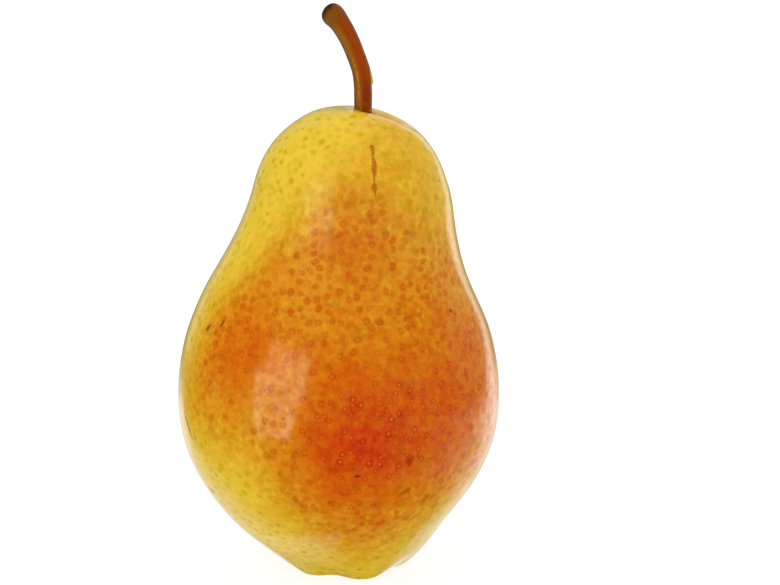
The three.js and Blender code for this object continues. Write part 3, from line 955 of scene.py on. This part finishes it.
def sepal_points(azimuth, rng):
    """A dried sepal in mm: its outer and inner sheets, which meet all round the edge."""
    share = np.linspace(0, 1, SEPAL_ROWS)[:, None]
    across = np.linspace(-1, 1, SEPAL_COLUMNS)[None, :]
    centre, tangent = sepal_line(share, max(rng.uniform(*SEPAL_TIP_LIFTS), 0))
    taper = np.clip((share - SEPAL_WIDEST) / (1 - SEPAL_WIDEST), 0, 1) ** SEPAL_TAPER
    half = SEPAL_HALF_WIDTH + (SEPAL_TIP_HALF_WIDTH - SEPAL_HALF_WIDTH) * taper
    half = half * (1 + SEPAL_EDGE_WAVE * np.sin(SEPAL_EDGE_WAVES * share + rng.uniform(0, 6)))
    twist = rng.uniform(-SEPAL_TWIST, SEPAL_TWIST) * share ** 2
    curl = SEPAL_CURL * across ** 2 + twist * across
    inside = 1 - across ** 2
    phase = 4 * share + rng.uniform(0, 6)
    wrinkle = SEPAL_WRINKLE * np.sin(SEPAL_WRINKLES * math.pi * across + phase) * inside
    vein = SEPAL_VEIN * np.exp(-(across / SEPAL_VEIN_WIDTH) ** 2) * (1 - share)
    thick = (SEPAL_HALF_THICKNESS * np.sqrt(np.clip(inside, 0, 1))
             * np.sqrt(np.clip(1 - share ** 6, 0, 1)))
    middle = curl + wrinkle
    side = across * half
    sheets = []
    for lift in (middle + thick, middle - (thick + vein)):
        radius = centre[..., 0] - tangent[..., 1] * lift
        height = centre[..., 1] + tangent[..., 0] * lift
        x = CALYX_X + radius * math.cos(azimuth) - side * math.sin(azimuth)
        y = radius * math.sin(azimuth) + side * math.cos(azimuth)
        sheets.append(np.stack([x, y, np.maximum(height, SEPAL_LOWEST)], -1))
    return sheets


def thread_points(line, radius):
    """Rings of a thin tube along a line of points, in mm."""
    line = np.array(line, float)
    along = np.gradient(line, axis=0)
    along /= np.linalg.norm(along, axis=1)[:, None]
    side = np.cross(along, THREAD_SIDEWAYS)
    side /= np.linalg.norm(side, axis=1)[:, None]
    other = np.cross(along, side)
    turn = np.linspace(0, 2 * math.pi, THREAD_SIDES + 1)
    ring = side[:, None] * np.cos(turn)[:, None] + other[:, None] * np.sin(turn)[:, None]
    return line[:, None] + ring * np.asarray(radius)[:, None, None]


def round_calyx(radius, azimuth, height):
    """Places at a radius and an azimuth round the middle of the calyx."""
    return np.stack([CALYX_X + radius * np.cos(azimuth), radius * np.sin(azimuth), height], -1)


def stamen(rng):
    """A withered thread that hangs from the cup, bends over and ends in a small swelling."""
    azimuth = rng.uniform(0, 2 * math.pi)
    start = rng.uniform(*STAMEN_STARTS)
    lean = rng.uniform(*STAMEN_LEANS)
    length = rng.uniform(*STAMEN_LENGTHS)
    step = np.linspace(0, 1, THREAD_ROWS)
    azimuth = azimuth + rng.uniform(-STAMEN_SWAY, STAMEN_SWAY) * step ** 2
    line = round_calyx(start + lean * step ** 2, azimuth, STAMEN_TOP - length * step)
    radius = STAMEN_RADIUS * (1 - STAMEN_TAPER * step)
    radius[-len(STAMEN_TIP):] = STAMEN_TIP
    return thread_points(line, radius)


def style(azimuth):
    """One of the stouter threads in the middle of the cup."""
    step = np.linspace(0, 1, THREAD_ROWS)
    line = round_calyx(STYLE_OFFSET * (1 + step), azimuth, STYLE_TOP - STYLE_LENGTH * step)
    radius = np.full(THREAD_ROWS, STYLE_RADIUS)
    radius[-1] = STYLE_TIP
    return thread_points(line, radius)


def calyx_cup():
    """The low cup that the sepals spring from, with a crumpled rim. Rings in mm."""
    outline = natural_spline(CALYX_CUP, np.linspace(0, 1, CUP_ROWS))
    outline[:, 0] = np.maximum(outline[:, 0], 0)
    azimuth = np.linspace(0, 2 * math.pi, CUP_COLUMNS)[None, :]
    waves = sum(height * np.sin(count * azimuth + phase) for count, phase, height in CUP_WAVES)
    rim = CUP_RIM_HEIGHT * np.sin(CUP_RIM_WAVES * azimuth)
    height = outline[:, 1:] + rim * smoothstep(outline[:, :1], *CUP_RIM_RADII)
    return round_calyx(outline[:, :1] * (1 + waves), azimuth, height)


def build_calyx():
    rng = np.random.default_rng(SEED + 5)
    grids = [(calyx_cup(), True)]
    for i in range(SEPALS):
        outer, inner = sepal_points(SEPAL_AZIMUTH + i * 2 * math.pi / SEPALS, rng)
        grids += [(outer, False), (inner, True)]
    grids += [(stamen(rng), False) for _ in range(STAMENS)]
    grids += [(style(i * 2 * math.pi / STYLES), False) for i in range(STYLES)]
    points, faces, first = [], [], 0
    for grid, flip in grids:
        rows, columns, _ = grid.shape
        points.append(grid.reshape(-1, 3))
        faces += grid_faces(rows, columns, first, flip)
        first += rows * columns
    mesh = bpy.data.meshes.new("calyx")
    mesh.from_pydata((np.concatenate(points) * MM).tolist(), [], faces)
    weld(mesh)
    mesh.shade_smooth()
    return add_piece("dried_calyx", mesh, "calyx", calyx_material())


# ---------------------------------------------------------------- floor, lights and world

FLOOR_HALF_SIZE = 6.0

LAMP_AIM, LAMP_DISTANCE = (0, 0, 0.05), 0.9
WINDOW_TINT = (1.0, 0.90, 0.62)
WHITE = (1, 1, 1)
# Lamps that only the gloss sees: name, degrees round from the front and above level, width and
# height in metres, radiance, and roll in degrees.
GLOSS_LAMPS = (
    ("gloss_upper", -36.4, 13.4, 0.45, 0.46, 3.1, 0),
    ("gloss_lower", -38.8, -10.4, 0.24, 0.30, 3.2, -20),
    ("gloss_tip", -33.5, -9.5, 0.12, 0.32, 1.5, -20),
    ("gloss_left", -53, -3, 0.165, 0.55, 3.0, 0),
)
# Lamps that light the colours and don't show in the gloss, in the same terms.
FILL_LAMPS = (
    ("key_fill", -34, 24, 0.60, 0.78, 0.72, 0),
    ("side_fill", 141, -12.5, 0.45, 0.25, 1.9, 0),
    ("top_fill", -20, 75, 0.60, 0.60, 1.15, 0),
    ("under_fill", 0, -90, 0.9, 0.9, 0.38, 0),
)
WORLD_STRENGTH = 1.06


def add_floor():
    """A wide pale sheet. The lamps shine past it, as they do past a narrow light table."""
    size = FLOOR_HALF_SIZE
    mesh = bpy.data.meshes.new("floor")
    corners = [(-size, -size, 0), (size, -size, 0), (size, size, 0), (-size, size, 0)]
    mesh.from_pydata(corners, [], [(0, 1, 2, 3)])
    floor = add_object("floor", mesh)
    mesh.materials.append(floor_material())
    floor.visible_glossy = False
    floor.visible_shadow = False


def add_lamp(name, turn, rise, width, height, radiance, roll, in_gloss):
    """A soft rectangular lamp that faces the fruit, for the gloss alone or for the colours alone."""
    data = bpy.data.lights.new(name, "AREA")
    data.shape = "RECTANGLE"
    data.size = width
    data.size_y = height
    data.energy = radiance * math.pi * width * height
    data.color = WINDOW_TINT if in_gloss else WHITE
    lamp = add_object(name, data)
    around, up = math.radians(turn), math.radians(rise)
    way = Vector((math.sin(around) * math.cos(up), -math.cos(around) * math.cos(up), math.sin(up)))
    lamp.location = Vector(LAMP_AIM) + way * LAMP_DISTANCE
    lamp.rotation_mode = "QUATERNION"
    lamp.rotation_quaternion = (way.to_track_quat("Z", "Y")
                                @ Quaternion((0, 0, 1), math.radians(roll)))
    lamp.visible_glossy = in_gloss
    lamp.visible_diffuse = not in_gloss


def add_lamps():
    for lamp in GLOSS_LAMPS:
        add_lamp(*lamp, in_gloss=True)
    for lamp in FILL_LAMPS:
        add_lamp(*lamp, in_gloss=False)


def right_of_room(s, turn, rise, over):
    """The table to the right, then what shows over it: a bright spot, a leaning window strip, a
    dim wall, the dim front of the room, and the wall far round to the back."""
    table = s.times(s.grow(turn, 62.0, 135.0, 1.15), s.fade(turn, 150.0, 168.0, 1.0, 0.65),
                    s.fade(rise, -16.0, -8.0), s.fade(rise, -48.0, -30.0, 0.10, 1.0))
    spot = s.times(1.2, s.hill(turn, 136.0, 15.0), s.hill(rise, -16.0, 8.0))
    leaning = s.math("SUBTRACT", turn, s.grow(rise, -8.0, 10.0, 20.0))
    strip = s.times(s.grow(leaning, 127.0, 134.0), s.fade(leaning, 138.0, 160.0),
                    s.grow(rise, -15.0, -9.0), s.fade(rise, -8.0, 15.0, 1.6, 0.2))
    wall = s.times(s.grow(turn, 78.0, 112.0, 0.28), s.fade(turn, 148.0, 158.0, 1.0, 0.6), over)
    front = s.times(s.grow(turn, 5.0, 70.0, 0.15), s.grow(rise, -50.0, -40.0),
                    s.fade(rise, 5.0, 25.0))
    far = s.times(s.grow(turn, 148.0, 160.0, 0.60), s.grow(rise, 0.0, 14.0))
    return table, (spot, strip, wall, front, far)


def left_of_room(s, left, rise, over):
    """The table to the left, then a spot on it, and a dim wall with a window strip over it."""
    nearer = s.plus(left, rise, -1.5)
    table = s.times(s.grow(nearer, 158.0, 178.0, 0.9), s.grow(left, 100.0, 150.0),
                    s.fade(rise, -16.0, -9.0))
    spot = s.times(0.5, s.hill(left, 149.0, 9.0), s.hill(rise, -15.0, 6.0))
    wall = s.times(s.grow(left, 122.0, 150.0, 0.30), over, s.fade(rise, 10.0, 30.0, 1.0, 1.5))
    strip = s.times(s.hill(left, 148.0, 3.0), over, s.fade(rise, 10.0, 25.0, 0.35, 0.1))
    return table, (spot, wall, strip)


def gloss_surroundings(s):
    """How bright the room looks in the gloss, by degrees round from the front and above level.

    A white table lies behind and beside the fruit, and dim walls and windows stand over it. The
    fruit shades the table behind it, and the front of the room is dark but for the lamps."""
    direction = s.add("ShaderNodeTexCoord").outputs["Generated"]
    x, y, z = s.split(direction)
    turn = s.math("DEGREES", s.math("ARCTAN2", x, s.times(y, -1.0)))
    left = s.times(turn, -1.0)
    rise = s.math("DEGREES", s.math("ARCSINE", z))
    over = s.grow(rise, -10.0, -4.0)
    table_right, parts_right = right_of_room(s, turn, rise, over)
    table_left, parts_left = left_of_room(s, left, rise, over)
    shaded = s.times(s.grow(s.math("ABSOLUTE", turn), 148.0, 170.0, 0.95),
                     s.fade(rise, -44.0, -29.0))
    total = s.times(s.math("ADD", table_right, table_left), s.math("SUBTRACT", 1.0, shaded))
    for part in (*parts_right, *parts_left):
        total = s.math("ADD", total, part)
    return total


def add_world():
    """White all round for the soft light and the background; the gloss sees the room."""
    world = bpy.data.worlds.new("world")
    bpy.context.scene.world = world
    s = Shader(world)
    glossy = s.add("ShaderNodeLightPath").outputs["Is Glossy Ray"]
    room = s.math("SUBTRACT", gloss_surroundings(s), WORLD_STRENGTH)
    background = s.tree.nodes["Background"]
    background.inputs["Color"].default_value = (*WHITE, 1)
    s.feed(background.inputs["Strength"], s.plus(WORLD_STRENGTH, room, glossy))
    world.cycles.sampling_method = "NONE"


add_camera()
build_fruit()
build_stem()
build_calyx()
add_floor()
add_lamps()
add_world()
bpy.context.scene.view_settings.view_transform = "Standard"
